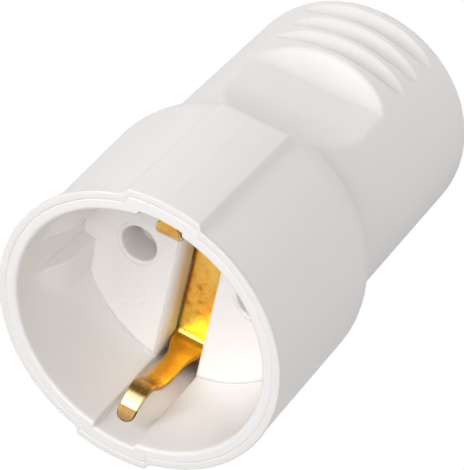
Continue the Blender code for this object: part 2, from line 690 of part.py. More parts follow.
def build_pole_contact(name, side):
    """A slit brass sleeve for one plug pin, with its terminal block in one piece."""
    groove = contact_front + SPRING_GROOVE
    groove_radius = SLEEVE_RADIUS - SPRING_RECESS
    contact = turned("pole_contact_" + name, [(SLEEVE_RADIUS, contact_front), (SLEEVE_RADIUS, groove),
                                              (groove_radius, groove),
                                              (groove_radius, groove + SPRING_HEIGHT + 2 * CLEARANCE),
                                              (SLEEVE_RADIUS, groove + SPRING_HEIGHT + 2 * CLEARANCE),
                                              (SLEEVE_RADIUS, block_front + PAST)],
                     brass("pole_brass_" + name))
    half = BLOCK_WIDTH / 2
    block = box("block_" + name, (-half, -half, block_front), (half, half, block_back))
    bore = turned("sleeve_bore_" + name, [(SLEEVE_BORE_RADIUS + 2 * CLEARANCE, contact_front - CLEARANCE),
                                          (SLEEVE_BORE_RADIUS, contact_front + 2 * CLEARANCE),
                                          (SLEEVE_BORE_RADIUS, block_front - PAST)])
    slit = box("sleeve_slit_" + name, (-2 * SLEEVE_RADIUS, -SLEEVE_SLIT / 2, contact_front - PAST),
               (2 * SLEEVE_RADIUS, SLEEVE_SLIT / 2, block_front - 2 * SLEEVE_SLIT))
    wire = turned("wire_hole_" + name, [(WIRE_HOLE_RADIUS, block_front + CHAMBER_WALL),
                                        (WIRE_HOLE_RADIUS, block_back + PAST)])
    thread = turned("terminal_thread_" + name, [(SCREW_RADIUS + CLEARANCE, LENGTH - half - PAST),
                                                (SCREW_RADIUS + CLEARANCE, LENGTH)])
    thread.rotation_euler = (math.pi / 2, 0, 0)
    for item in (contact, block, bore, slit, wire, thread):
        moved(item, x=side * pin_x)
    thread.location.z = LENGTH - terminal_depth()
    join(contact, block)
    cut(contact, bore, slit, wire, thread)
    return contact


def build_contact_spring(name, side):
    """A steel ring, open on one side, that keeps the slit sleeve tight on the pin."""
    inner = SLEEVE_RADIUS - SPRING_RECESS + CLEARANCE
    outer = inner + SPRING_THICKNESS
    top = contact_front + SPRING_GROOVE + CLEARANCE
    bottom = top + SPRING_HEIGHT
    spring = ring("contact_spring_" + name, [(inner, top), (outer, top), (outer, bottom), (inner, bottom)],
                  steel("spring_steel_" + name))
    gap = box("spring_gap_" + name, (inner - PAST, -SLEEVE_SLIT, top - PAST),
              (outer + PAST, SLEEVE_SLIT, bottom + PAST))
    cut(spring, moved(gap, x=side * pin_x))
    return moved(spring, x=side * pin_x)


def build_screw(name, grip, head=SCREW_HEAD_RADIUS):
    """A slotted pan-head screw. Its head seats at its origin and its shank runs along +Z."""
    edge = 0.25 * SCREW_HEAD
    profile = [(SCREW_RADIUS - 0.0004, grip), (SCREW_RADIUS, grip - 0.0004), (SCREW_RADIUS, 0.0),
               (head, 0.0), (head, edge - SCREW_HEAD), (head - edge, -SCREW_HEAD)]
    screw = turned(name, [(radius, LENGTH - z) for radius, z in profile], steel(name + "_steel"))
    half = SCREW_SLOT_WIDTH / 2
    slot = box(name + "_slot", (-head - PAST, -half, LENGTH + SCREW_HEAD - SCREW_SLOT_DEPTH),
               (head + PAST, half, LENGTH + SCREW_HEAD + PAST))
    slot.parent = screw
    cut(screw, slot)
    return screw


def build_fasteners():
    """Every screw lies at the piece that it holds."""
    half = BLOCK_WIDTH / 2
    for name, side in (("left", -1), ("right", 1)):
        screw = build_screw("terminal_screw_" + name, 0.75 * half)
        screw.rotation_euler = (-math.pi / 2, 0, 0)
        screw.location = (side * pin_x, -half - CLEARANCE, LENGTH - terminal_depth())
    plate_back = strip_back + CLEARANCE + CLAMP_PLATE_THICKNESS
    screw = build_screw("earth_terminal_screw", plate_back + CLEARANCE - strip_front, 1.25 * SCREW_HEAD_RADIUS)
    screw.location = (0, 0, LENGTH - plate_back - CLEARANCE)
    for name, (x, y) in zip(("left", "right"), screw_places()):
        screw = build_screw("carrier_screw_" + name,
                            carrier_back + CLEARANCE - floor_back + CARRIER_SCREW_GRIP)
        screw.location = (x, y, LENGTH - carrier_back - CLEARANCE)
    ear_top = CORD_RADIUS - SADDLE_EAR
    tail_back = CORD_RADIUS + CLEARANCE + TAIL_THICKNESS
    for name, side in (("left", -1), ("right", 1)):
        screw = build_screw("cord_clamp_screw_" + name, tail_back - ear_top + 3 * CLEARANCE)
        screw.rotation_euler = (-math.pi / 2, 0, 0)
        screw.location = (side * clamp_screw_x, ear_top - CLEARANCE, LENGTH - clamp_depth())


def build_clamp_plate():
    """The square brass plate that presses the earth wire on the strip."""
    half = CLAMP_PLATE_WIDTH / 2
    top = strip_back + CLEARANCE
    plate = box("earth_clamp_plate", (-half, -half, top), (half, half, top + CLAMP_PLATE_THICKNESS),
                brass("clamp_plate_brass"))
    cut(plate, turned("clamp_plate_hole", [(SCREW_RADIUS + CLEARANCE, top - PAST),
                                           (SCREW_RADIUS + CLEARANCE, top + CLAMP_PLATE_THICKNESS + PAST)]))
    return plate


def build_cord_clamp():
    """An arched saddle that two screws pull down on the cord, against the carrier's tail."""
    reach = tail_half_width
    outer = CORD_RADIUS + SADDLE_WALL
    ear_top = CORD_RADIUS - SADDLE_EAR
    ear_turn = math.asin(ear_top / outer)
    outline = [(reach, CORD_RADIUS), (reach, ear_top)]
    outline += arc((0, 0), outer, ear_turn, -math.pi - ear_turn, 14)
    outline += [(-reach, ear_top), (-reach, CORD_RADIUS), (-CORD_RADIUS, CORD_RADIUS)]
    outline += arc((0, 0), CORD_RADIUS, -math.pi, 0, 12)
    outline.append((CORD_RADIUS, CORD_RADIUS))
    middle = clamp_depth()
    saddle = stack("cord_clamp_saddle", [(outline, middle - SADDLE_LENGTH / 2),
                                         (outline, middle + SADDLE_LENGTH / 2)],
                   finish("saddle_plastic", (0.62, 0.61, 0.60), 0.45))
    holes = clamp_screw_holes()
    holes.name = "saddle_screw_holes"
    cut(saddle, holes)
    return saddle


def main():
    clear_scene()
    build_shell()
    build_insert()
    build_earth_strip()
    build_carrier()
    for name, side in (("left", -1), ("right", 1)):
        build_pole_contact(name, side)
        build_contact_spring(name, side)
    build_clamp_plate()
    build_cord_clamp()
    build_fasteners()


main()
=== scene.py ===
"""Looks of the round earthed extension socket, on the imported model's frame.

Lengths are in millimetres until a mesh is made, and a depth is measured down from the rim's plane.
The camera looks into the recess from the front, with the thumb scoop on the -Y side on top.
"""
import math
import bmesh
import bpy
import numpy as np
from mathutils import Matrix, Vector


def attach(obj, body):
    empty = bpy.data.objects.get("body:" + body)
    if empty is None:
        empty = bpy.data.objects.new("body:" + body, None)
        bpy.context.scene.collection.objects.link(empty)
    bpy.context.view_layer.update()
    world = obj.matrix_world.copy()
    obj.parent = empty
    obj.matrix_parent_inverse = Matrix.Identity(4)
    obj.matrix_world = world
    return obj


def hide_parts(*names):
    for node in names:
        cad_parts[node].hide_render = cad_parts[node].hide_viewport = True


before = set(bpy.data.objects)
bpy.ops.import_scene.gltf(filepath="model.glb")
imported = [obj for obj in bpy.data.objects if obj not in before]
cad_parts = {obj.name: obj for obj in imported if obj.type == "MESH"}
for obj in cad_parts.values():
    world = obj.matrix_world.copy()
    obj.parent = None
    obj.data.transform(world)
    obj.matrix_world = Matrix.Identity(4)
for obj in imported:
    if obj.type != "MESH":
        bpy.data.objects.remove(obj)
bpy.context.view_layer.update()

# Shell: head and handle, one moulding of glossy white plastic, open at the mouth. Raised bands run
# along the head over the earth tongues, and the handle has thumb scoops and grip grooves.

length = 71.7
head, band, rim, handle = 22.05, 23.2, 22.15, 19.06     # radii of the outside
band_half = 0.250                                       # half the angle that a band takes up


def soft_min(a, b, width):
    """The smaller of two values, blended by a parabola where they differ by less than the width."""
    near = np.clip(1 - np.abs(a - b) / width, 0, 1)
    return np.minimum(a, b) - near ** 2 * width / 4


def place(radius, turn, depth):
    """Points in metres from radii, angles from +Y towards +X, and depths."""
    radius, turn, depth = np.broadcast_arrays(radius, turn, depth)
    return np.stack([radius * np.sin(turn), radius * np.cos(turn), length - depth], axis=-1) / 1000


def quads(rows, columns, loop_rows=False, loop_columns=True):
    """Corner numbers of the quads over a grid of points that may close on itself either way."""
    index = np.arange(rows * columns).reshape(rows, columns)
    if loop_rows:
        index = np.vstack([index, index[:1]])
    if loop_columns:
        index = np.hstack([index, index[:, :1]])
    four = [index[:-1, :-1], index[1:, :-1], index[1:, 1:], index[:-1, 1:]]
    return np.stack(four, axis=-1).reshape(-1, 4)


def solid(grid, loop_rows=True):
    """Points and quads of a closed grid; its faces turn over where its signed volume is negative.

    The volume is the sum over the faces of corner one dotted with the cross of corners two and three.
    """
    points = grid.reshape(-1, 3)
    faces = quads(grid.shape[0], grid.shape[1], loop_rows)
    a, b, c, d = (points[faces[:, i]] for i in range(4))
    volume = (a * np.cross(b, c)).sum() + (a * np.cross(c, d)).sum()
    return points, faces if volume > 0 else faces[:, ::-1]


def made(name, parts, **marks):
    """One object at the origin from sets of points and quads, shaded smooth, with marks at its points."""
    points = np.vstack([part[0] for part in parts])
    starts = np.cumsum([0] + [len(part[0]) for part in parts[:-1]])
    faces = np.vstack([part[1] + start for part, start in zip(parts, starts)])
    mesh = bpy.data.meshes.new(name)
    mesh.vertices.add(len(points))
    mesh.vertices.foreach_set("co", points.astype(np.float32).ravel())
    mesh.loops.add(faces.size)
    mesh.loops.foreach_set("vertex_index", faces.astype(np.int32).ravel())
    mesh.polygons.add(len(faces))
    mesh.polygons.foreach_set("loop_start", np.arange(0, faces.size, 4, dtype=np.int32))
    mesh.update(calc_edges=True)
    mesh.validate()
    for mark, values in marks.items():
        mesh.attributes.new(mark, "FLOAT", "POINT").data.foreach_set("value", values.astype(np.float32))
    mesh.shade_smooth()
    item = bpy.data.objects.new(name, mesh)
    bpy.context.scene.collection.objects.link(item)
    return item


def from_band(turn):
    """Angle to the middle of the nearer band."""
    return np.abs((turn + math.pi / 2) % math.pi - math.pi / 2)


def band_share(turn, half, run, slow_run=None):
    """1 on a band, falling to 0 beside it along a quarter of a circle; one side may fall more slowly."""
    before = (turn + math.pi / 2) % math.pi < math.pi / 2
    share = np.clip((from_band(turn) - half) / np.where(before, slow_run or run, run), 0, 1)
    return 1 - np.sqrt(1 - (1 - share) ** 2)


def drawn_in(turn, depth):
    """How far the +X side of the head is drawn in behind the rim: a smooth hump over the angle."""
    middle, half, run = math.radians(117), 0.26, 0.58
    away = np.clip((np.abs(turn - middle) - half) / run, 0, 1)
    hump = 1 - away * away * (3 - 2 * away)
    along = np.interp(depth, (0.45, 0.8, 10.0, 25.5, 32.4), (0.0, 0.95, 0.95, 0.5, 0.0))
    return hump * along


def scoop_height(depth):
    """Height of the thumb scoop over the axis: a long arc down, a flat floor, and a parabola up."""
    arc, flat_height, flat_start, flat_end = 22, 15.72, 42.0, 48.3
    ramp = arc - np.sqrt(np.maximum(arc ** 2 - np.minimum(depth - flat_start, 0) ** 2, 1.0))
    rear = 0.18 * np.maximum(depth - flat_end, 0) ** 2
    return flat_height + ramp + rear


def groove_drop(turn, depth):
    """How deep the grip grooves are: a parabola across each, which runs out towards its two ends."""
    half_angle, deepest, front_slope, rear_slope = 0.600, 0.97, 0.34, 0.21
    off = from_band(turn) / half_angle
    drop = np.zeros(np.broadcast(turn, depth).shape)
    for middle in (55.75, 60.5, 65.25):
        past = depth - middle + 0.25 - 0.35 * off ** 2
        slope = np.where(past < 0, front_slope, rear_slope)
        over = deepest * (1 - off ** 3.3) - slope * past ** 2
        drop = np.maximum(drop, (over + np.sqrt(over ** 2 + 0.0016)) / 2 - 0.01)
    return np.maximum(drop, 0)


def outside(turn, depth, plain, top):
    """Radius of the outside: the plain radius, raised on the bands, cut back by scoops and grooves."""
    scoops_start, grooves_start = 24.5, 53.5
    radius = plain - drawn_in(turn, depth)
    radius = radius + band_share(turn, band_half, 0.046, 0.085) * (top - radius)
    if depth > scoops_start:
        across = scoop_height(depth) / np.maximum(np.cos(from_band(turn)), 0.2)
        radius = soft_min(radius, across, 0.35)
    if depth > grooves_start:
        radius = radius - groove_drop(turn, depth)
    return radius


fine = np.arange(-42, 42.01, 0.6)
coarse = np.arange(45, 136, 3.0)
turns = np.radians(np.concatenate([fine, coarse, fine + 180, coarse + 180]))[None, :]

# The outside, from the rim to the rounded rear: depth, plain radius, and radius on a band
outline = []
rim_round, rear_round = 0.24, 4.4
for a in np.linspace(0, math.pi / 2, 6):
    inset = rim_round * (1 - math.sin(a))
    outline.append((rim_round * (1 - math.cos(a)), rim - inset, band - inset))
outline += [(0.4, rim, band), (0.55, 22.13, band), (0.65, 22.1, band)]
outline += [(d, head, band) for d in (0.8, 1.0, 2.0, 5.0, 10.0, 15.0, 20.0, 24.6)]
for a in np.linspace(0.0, 0.76, 24):
    outline.append((25.5 + 8.9 * math.sin(a), head - 9.85 * (1 - math.cos(a)), band))
for d in np.linspace(31.8, 32.6, 4):
    outline.append((d, handle + 0.24 * max(0, (32.6 - d) / 0.8) ** 2, handle))
for start, stop, step in ((32.9, 47.9, 0.5), (48.0, 53.5, 0.25), (53.55, 67.3, 0.15)):
    outline += [(d, handle, handle) for d in np.arange(start, stop, step)]
for a in np.linspace(0, math.pi / 2, 16):
    radius = handle - rear_round + rear_round * math.cos(a)
    outline.append((67.3 + rear_round * math.sin(a), radius, radius))
rings = [place(outside(turns, depth, plain, top), turns, depth) for depth, plain, top in outline]

# The rear's cable hole, then forward again inside: the bore with its two flats, and the cup's seat
for radius, depth in ((12, 71.7), (8, 71.7), (6.2, 71.7), (5.7, 71.67), (5.2, 71.5), (4.8, 71.2),
                      (4.55, 70.7), (4.5, 70.2), (4.5, 69.0), (4.7, 68.7), (8, 68.7)):
    rings.append(place(radius, turns, depth))
for radius, flat, depth in ((13.0, 10.4, 68.7), (13.9, 11.1, 68.6), (16.86, 13.5, 65.7),
                            (16.86, 13.5, 40.0), (16.86, 13.5, 32.0), (16.86, 16.8, 28.9),
                            (16.86, 16.86, 26.4)):
    reach = np.minimum(radius, flat / np.maximum(np.cos(from_band(turns)), 0.1))
    rings.append(place(reach, turns, depth))
seam, seam_wide, seam_deep = 20.97, 0.26, 0.13          # radius, and size of the rounding beside it
for radius, rise, depth in ((20.4, 0, 26.3), (20.4, 0, 23.4), (20.4, 1.1, 23.2), (20.4, 1.1, 3.4),
                            (20.92, 1.05, 3.3), (20.92, 1.05, 1.8), (seam, 1.05, 1.7), (seam, 1.05, 0.15)):
    rings.append(place(radius + rise * band_share(turns, band_half, 0.02), turns, depth))
for a in np.linspace(0.25, math.pi / 2, 4):
    reach = seam + seam_wide * (1 - math.cos(a)) + 1.05 * band_share(turns, band_half, 0.02)
    rings.append(place(reach, turns, seam_deep * (1 - math.sin(a))))
shell = made("shell_skin", [solid(np.concatenate(rings))])


def put(tree, kind, links, **settings):
    """A node with its settings; links gives its inputs either a value or another node's output."""
    node = tree.nodes.new("ShaderNode" + kind)
    for key, value in settings.items():
        setattr(node, key, value)
    for key, value in links.items():
        if isinstance(value, bpy.types.NodeSocket):
            tree.links.new(value, node.inputs[key])
        else:
            node.inputs[key].default_value = value
    return node


def group(name, inputs, outputs):
    """An empty node group with its named sockets, and its two end nodes."""
    tree = bpy.data.node_groups.new(name, "ShaderNodeTree")
    for label, kind, value in inputs:
        socket = tree.interface.new_socket(label, in_out="INPUT", socket_type="NodeSocket" + kind)
        if value is not None:
            socket.default_value = value
    for label, kind in outputs:
        tree.interface.new_socket(label, in_out="OUTPUT", socket_type="NodeSocket" + kind)
    return tree, tree.nodes.new("NodeGroupInput").outputs, tree.nodes.new("NodeGroupOutput").inputs


def math_node(tree, operation, a, b=0.0, c=0.0, clamp=False):
    """The output of a Math node."""
    return put(tree, "Math", {0: a, 1: b, 2: c}, operation=operation, use_clamp=clamp).outputs[0]


def blend(tree, share, a, b):
    """A colour between two by a share."""
    return put(tree, "Mix", {0: share, 6: a, 7: b}, data_type="RGBA").outputs[2]


def fade(tree, value, low, high):
    """0 below low and 1 above high, smooth between."""
    return put(tree, "MapRange", {0: value, 1: low, 2: high}, interpolation_type="SMOOTHSTEP").outputs[0]


# What every moulded surface shows: slow clouds in the tint, weak flow streaks along the mould, a few
# tiny dark specks, and a faint waviness like orange peel.
moulding, given, result = group(
    "moulded_surface",
    [("Colour", "Color", None), ("Speck Colour", "Color", None), ("Cloud", "Float", 0.02),
     ("Specks", "Float", 0.5), ("Roughness", "Float", 0.3), ("Peel", "Float", 0.5)],
    [("Colour", "Color"), ("Roughness", "Float"), ("Height", "Float")])
at = put(moulding, "TexCoord", {}).outputs["Object"]
clouds = put(moulding, "TexNoise", {"Vector": at, "Scale": 60.0, "Detail": 3.0}).outputs[0]
stretched = put(moulding, "Mapping", {"Vector": at, "Scale": (260.0, 260.0, 28.0)}).outputs[0]
flow = put(moulding, "TexNoise", {"Vector": stretched, "Scale": 1.0, "Detail": 2.0}).outputs[0]
tone = math_node(moulding, "MULTIPLY", clouds, 0.7)
tone = math_node(moulding, "ADD", tone, math_node(moulding, "MULTIPLY", flow, 0.3))
tone = math_node(moulding, "SUBTRACT", tone, 0.5)
change = math_node(moulding, "MULTIPLY_ADD", tone, given["Cloud"], 1.0)
tinted = put(moulding, "VectorMath", {0: given["Colour"], 3: change}, operation="SCALE").outputs[0]
cells = put(moulding, "TexVoronoi", {"Vector": at, "Scale": 330.0, "Randomness": 1.0})
spot = math_node(moulding, "LESS_THAN", cells.outputs["Distance"], 0.055)
chosen = put(moulding, "SeparateColor", {0: cells.outputs["Color"]}).outputs[0]
spot = math_node(moulding, "MULTIPLY", spot, math_node(moulding, "GREATER_THAN", chosen, 0.86))
spot = math_node(moulding, "MULTIPLY", spot, given["Specks"])
moulding.links.new(blend(moulding, spot, tinted, given["Speck Colour"]), result["Colour"])
moulding.links.new(math_node(moulding, "MULTIPLY_ADD", tone, 0.12, given["Roughness"]), result["Roughness"])
peel = put(moulding, "TexNoise", {"Vector": at, "Scale": 650.0, "Detail": 2.0}).outputs[0]
ripple = math_node(moulding, "MULTIPLY_ADD", flow, 0.6, peel)
moulding.links.new(math_node(moulding, "MULTIPLY", ripple, given["Peel"]), result["Height"])


def moulded(name, colour, speck, rough, specular, cloud=0.02, specks=0.35, peel=0.5, relief=None):
    """A moulded plastic; relief may add a height of its own to the bump."""
    material = bpy.data.materials.new(name)
    material.use_nodes = True
    tree = material.node_tree
    shader = tree.nodes["Principled BSDF"]
    shader.inputs["Specular IOR Level"].default_value = specular
    skin = put(tree, "Group", {}, node_tree=moulding)
    for label, value in (("Colour", (*colour, 1)), ("Speck Colour", (*speck, 1)), ("Cloud", cloud),
                         ("Specks", specks), ("Roughness", rough), ("Peel", peel)):
        skin.inputs[label].default_value = value
    height = skin.outputs["Height"]
    if relief:
        height = math_node(tree, "ADD", height, relief(tree))
    bump = put(tree, "Bump", {"Height": height, "Distance": 0.00002, "Strength": 0.5})
    tree.links.new(skin.outputs["Colour"], shader.inputs["Base Color"])
    tree.links.new(skin.outputs["Roughness"], shader.inputs["Roughness"])
    tree.links.new(bump.outputs[0], shader.inputs["Normal"])
    return material


def parting_lines(tree):
    """The thin lines that the mould's halves leave: a narrow ridge at given angles round the axis."""
    place_of = put(tree, "TexCoord", {}).outputs["Object"]
    axes = put(tree, "SeparateXYZ", {0: place_of}).outputs
    turn = math_node(tree, "ARCTAN2", axes[0], axes[1])
    total = 0.0
    for degrees, low, high in ((0, 0.0375, 0.073), (180, 0.0375, 0.073), (56, 0.003, 0.028),
                               (-124, 0.003, 0.028), (139, 0.003, 0.044), (-41, 0.003, 0.044)):
        off = math_node(tree, "ABSOLUTE", math_node(tree, "SUBTRACT", turn, math.radians(degrees)))
        if degrees == 180:
            off = math_node(tree, "SUBTRACT", math.pi, math_node(tree, "ABSOLUTE", turn))
        line = math_node(tree, "SUBTRACT", 1.0, math_node(tree, "MULTIPLY", off, 90.0), clamp=True)
        above = math_node(tree, "GREATER_THAN", axes[2], low)
        below = math_node(tree, "LESS_THAN", axes[2], high)
        line = math_node(tree, "MULTIPLY", line, math_node(tree, "MULTIPLY", above, below))
        total = math_node(tree, "MULTIPLY_ADD", line, 2.5, total)
    return total


shell.data.materials.append(moulded(
    "white_shell_plastic", (0.865, 0.84, 0.825), (0.45, 0.40, 0.36), rough=0.34, specular=0.3,
    relief=parting_lines))
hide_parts("shell")
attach(shell, "root")

# Insert: the cup with the recess, a second moulding of the same plastic, held by two latches. Flat
# guides split by a groove stand on both sides, and a slot across the floor shows the earth strip.


def corner(before, at, after, radius, steps=5):
    """A corner rounded by a parabola that starts and ends the radius away from it."""
    near = at + (before - at) / np.linalg.norm(before - at) * radius
    far = at + (after - at) / np.linalg.norm(after - at) * radius
    t = np.linspace(0, 1, steps)[:, None]
    return (1 - t) ** 2 * near + 2 * t * (1 - t) * at + t ** 2 * far


def quarter(wall, flat, deep):
    """A quarter of the recess across its axis, from +X round to +Y: wall, guide, and earth groove."""

    def on_wall(y):
        return np.array([math.sqrt(wall ** 2 - y ** 2), y])

    def on_guide(y):
        return np.array([soft_min(math.sqrt(wall ** 2 - y ** 2), flat, 0.35), y])

    low, high = 2.90, 3.06                 # where the groove in the guide ends on the wall and on top
    groove_front, groove_back = 3.45, 3.38                  # half widths of the earth groove
    points = [on_wall(y) for y in np.linspace(0, low - 0.35, 6)]
    inner, outer = on_wall(low), on_guide(high)
    small = min(0.3, 0.4 * np.linalg.norm(outer - inner))
    points += list(corner(on_wall(low - 0.3), inner, outer, small))
    points += list(corner(inner, outer, on_guide(high + 0.3), small))
    points += [on_guide(y) for y in np.linspace(high + 0.32, 8.6, 12)]
    points += [on_guide(y) for y in np.linspace(8.7, 10.6, 20)]
    end = math.asin(groove_front / wall)
    for a in np.linspace(math.asin(10.75 / wall), math.pi / 2 - end - 0.3 / wall, 34):
        points.append(np.array([wall * math.cos(a), wall * math.sin(a)]))
    a = math.pi / 2 - end
    at = np.array([groove_front, wall * math.sin(a)])
    back = np.array([groove_back, math.sqrt(deep ** 2 - groove_back ** 2)])
    small = min(0.25, 0.4 * np.linalg.norm(back - at))
    before = np.array([wall * math.cos(a - 0.02), wall * math.sin(a - 0.02)])
    points += list(corner(before, at, back, small))
    points += list(corner(at, back, np.array([2.5, math.sqrt(deep ** 2 - 2.5 ** 2)]), small))
    points += [np.array([x, math.sqrt(deep ** 2 - x ** 2)]) for x in np.linspace(3.0, 0, 8)]
    return np.array(points)


def whole(part):
    """A quarter outline mirrored to all four sides, in order round the axis."""
    half = np.vstack([part, (part * [-1, 1])[-2::-1]])
    return np.vstack([half, (half * [1, -1])[-2:0:-1]])


def level(points, depth):
    """An outline in millimetres as a ring of points in metres at that depth."""
    return np.column_stack([points, np.full(len(points), length - depth)]) / 1000


wall, groove = 19.3, 20.0                               # radii at the mouth
floor_depth, cup_back, tube_end = 17.5, 21.9, 23.4      # depths
mouth = whole(quarter(wall, wall, groove))
aim = np.arctan2(mouth[:, 0], mouth[:, 1])


def cup_outside(radius, rise, half=0.2475):
    """The cup's outside, raised on the bands, in the directions of the recess's own points."""
    reach = radius + rise * band_share(aim, half, 0.012)
    return np.column_stack([reach * np.sin(aim), reach * np.cos(aim)])


# From the back of the cup round its outside to the rim, over the rim, and down the recess's wall
foot_ring = whole(quarter(18.8, 16.5, groove))
slit = 0.246                                            # half the angle of the raised part at the seam
cup_seam = seam - 0.004
rows = [level(foot_ring, cup_back), level(cup_outside(20.1, 1.1), cup_back),
        level(cup_outside(20.1, 1.1), 3.1), level(cup_outside(20.8, 1.05), 3.0),
        level(cup_outside(20.8, 1.05), 2.6), level(cup_outside(cup_seam, 1.05, slit), 2.5),
        level(cup_outside(cup_seam, 1.05, slit), 0.15)]
for a in np.linspace(0.25, math.pi / 2, 4):
    ring = cup_outside(cup_seam - seam_wide * (1 - math.cos(a)), 1.05, slit)
    rows.append(level(ring, seam_deep * (1 - math.sin(a))))
edge = whole(quarter(19.9, 19.9, 20.45))
lip = cup_outside(20.69, 1.05, slit)
rows += [level(lip + (edge - lip) * share, 0.0) for share in np.linspace(0.08, 1, 10)]
for a in np.linspace(0.15, math.pi / 2, 6):
    grow = 1 - math.sin(a)
    rows.append(level(whole(quarter(wall + 0.6 * grow, wall + 0.6 * grow, groove + 0.45 * grow)),
                      0.6 * (1 - math.cos(a))))
ramp_start, ramp_run, guide_height, draft = 2.6, 9.5, 2.7, 0.4
for depth in np.concatenate([[1.2, 2.0], np.arange(2.6, 12.7, 0.25), np.arange(13, 17, 1.0), [17.0]]):
    share = np.clip((depth - ramp_start) / ramp_run, 0, 1)
    ramp = wall - guide_height * share ** 2 * (3 - 2 * share)
    rows.append(level(whole(quarter(wall - draft * depth / floor_depth, ramp, groove)), depth))
for a in np.linspace(0, math.pi / 2, 4):
    inset = 0.1 * (1 - math.cos(a))
    rows.append(level(whole(quarter(18.9 - inset, 16.6 - inset, groove)), 17.4 + 0.1 * math.sin(a)))
cup = [solid(np.stack(rows))]

# The floor, in a part on each side of the slot: up the contact hole over its low collar, out to the
# wall's foot and the slot's rounded edge, and back underneath. The bore goes by radius and depth.
hole_x, hole_y, collar = 9.6, 0.2, 3.6
slot_half, slot_round, slot_foot = 3.45, 0.27, 2.93
bore = [(2.5, tube_end), (2.5, 23.15), (2.7, 22.95), (2.84, 22.8), (2.86, 22.5), (2.86, 17.9),
        (2.88, 17.6), (2.95, 17.42), (3.06, 17.31), (3.2, 17.28), (3.36, 17.32), (3.5, 17.44),
        (collar, floor_depth)]
for side in (1, -1):
    near_wall = foot_ring[foot_ring[:, 0] * side > 3.74]
    near_wall = near_wall[np.argsort(np.arctan2(near_wall[:, 1], (near_wall[:, 0] - side * 9.5) * side))]
    along = np.linspace(near_wall[-1, 1] - 0.05, near_wall[0, 1] + 0.05, 80)

    def border(x):
        """The floor's edge: the wall's foot, and a straight line beside the slot."""
        return np.vstack([near_wall, np.column_stack([np.full(len(along), side * x), along])])

    centre = np.array([side * hole_x, hole_y])
    way = border(slot_half + slot_round) - centre
    reach = np.linalg.norm(way, axis=1)[:, None]
    levels = [level(way / reach * radius + centre, depth) for radius, depth in bore]
    levels += [level(way / reach * (collar + (reach - collar) * share) + centre, floor_depth)
               for share in np.linspace(0.05, 1, 14)]
    for a in np.linspace(0.3, math.pi / 2, 5):
        drop = slot_round * (1 - math.cos(a) + math.sin(a)) / 2
        levels.append(level(border(slot_half + slot_round * math.cos(a)), floor_depth + drop))
    levels += [level(border(slot_foot), cup_back), level(way / reach * collar + centre, cup_back),
               level(way / reach * 3.5 + centre, tube_end)]
    cup.append(solid(np.stack(levels)))

# Two plain raised rings on the floor, each a bent round bar that stands half out of it
ring_x, ring_y = 9.85, 8.75
u, v = np.meshgrid(np.linspace(0, 2 * math.pi, 96, endpoint=False),
                   np.linspace(0, 2 * math.pi, 12, endpoint=False))
for radius, wide, high in ((2.85, 0.16, 0.06), (1.9, 0.12, 0.05)):
    reach = radius + wide * np.cos(v)
    ring = np.stack([ring_x + reach * np.cos(u), ring_y + reach * np.sin(u),
                     length - floor_depth + high * np.sin(v)], axis=-1)
    cup.append(solid(ring / 1000))
insert = made("socket_insert_skin", cup)
insert.data.materials.append(moulded(
    "white_insert_plastic", (0.89, 0.87, 0.855), (0.42, 0.37, 0.33), rough=0.35, specular=0.3,
    specks=0.45))
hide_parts("socket_insert")
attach(insert, "root")

# Earth strip: one bent strip of sheet brass, slid in behind the cup. It runs flat under the slot and
# turns forward at both ends into a sprung tongue that presses on the plug's earth contact.

# Places along the strip from its middle: distance from the axis and depth, then the width there
flat_run = [((0.0, 22.72), 5.8), ((6.0, 22.72), 5.8), ((10.5, 22.65), 5.8), ((14.3, 22.6), 5.8),
            ((15.7, 22.57), 5.8), ((16.3, 22.2), 5.8), ((16.6, 21.5), 5.8), ((16.85, 20.4), 5.6),
            ((17.05, 19.3), 4.7), ((17.15, 18.3), 3.9), ((17.2, 17.0), 3.5), ((17.2, 14.6), 3.35),
            ((17.0, 12.2), 3.4), ((16.4, 10.2), 3.5), ((15.5, 8.7), 3.4)]
low_tip = [((14.85, 7.4), 3.2), ((14.7, 6.2), 3.1), ((15.1, 5.0), 3.0), ((15.9, 3.95), 2.85),
           ((16.9, 3.0), 2.75), ((18.1, 2.2), 2.6)]
high_tip = [((15.1, 7.6), 3.4), ((14.7, 6.4), 3.5), ((14.75, 5.2), 3.5), ((15.25, 4.2), 3.5),
            ((16.2, 3.5), 3.5), ((18.1, 3.15), 3.4)]


def smooth(t, knots, values):
    """A smooth curve through the values, by cubic pieces with slopes from their neighbours."""
    slope = np.gradient(values, knots, axis=0)
    i = np.clip(np.searchsorted(knots, t, side="right") - 1, 0, len(knots) - 2)
    h = knots[i + 1] - knots[i]
    u = (t - knots[i]) / h
    if values.ndim == 2:
        h, u = h[:, None], u[:, None]
    return ((2 * u ** 3 - 3 * u ** 2 + 1) * values[i] + (u ** 3 - 2 * u ** 2 + u) * h * slope[i]
            + (3 * u ** 2 - 2 * u ** 3) * values[i + 1] + (u ** 3 - u ** 2) * h * slope[i + 1])


def half_strip(marks):
    """Centre line and width from the strip's middle to a tongue's rounded tip."""
    line = np.array([mark[0] for mark in marks])
    widths = np.array([mark[1] for mark in marks])
    station = np.concatenate([[0], np.cumsum(np.linalg.norm(np.diff(line, axis=0), axis=1))])
    bend_start, tip_round = 15.0, 1.15
    t = np.concatenate([np.linspace(0, bend_start, 40)[:-1], np.linspace(bend_start, station[-1], 150)])
    end = np.clip((station[-1] - t) / tip_round, 0, 1)
    wide = smooth(t, station, widths) * np.maximum(np.sqrt(1 - (1 - end) ** 2), 0.02)
    return smooth(t, station, line), wide


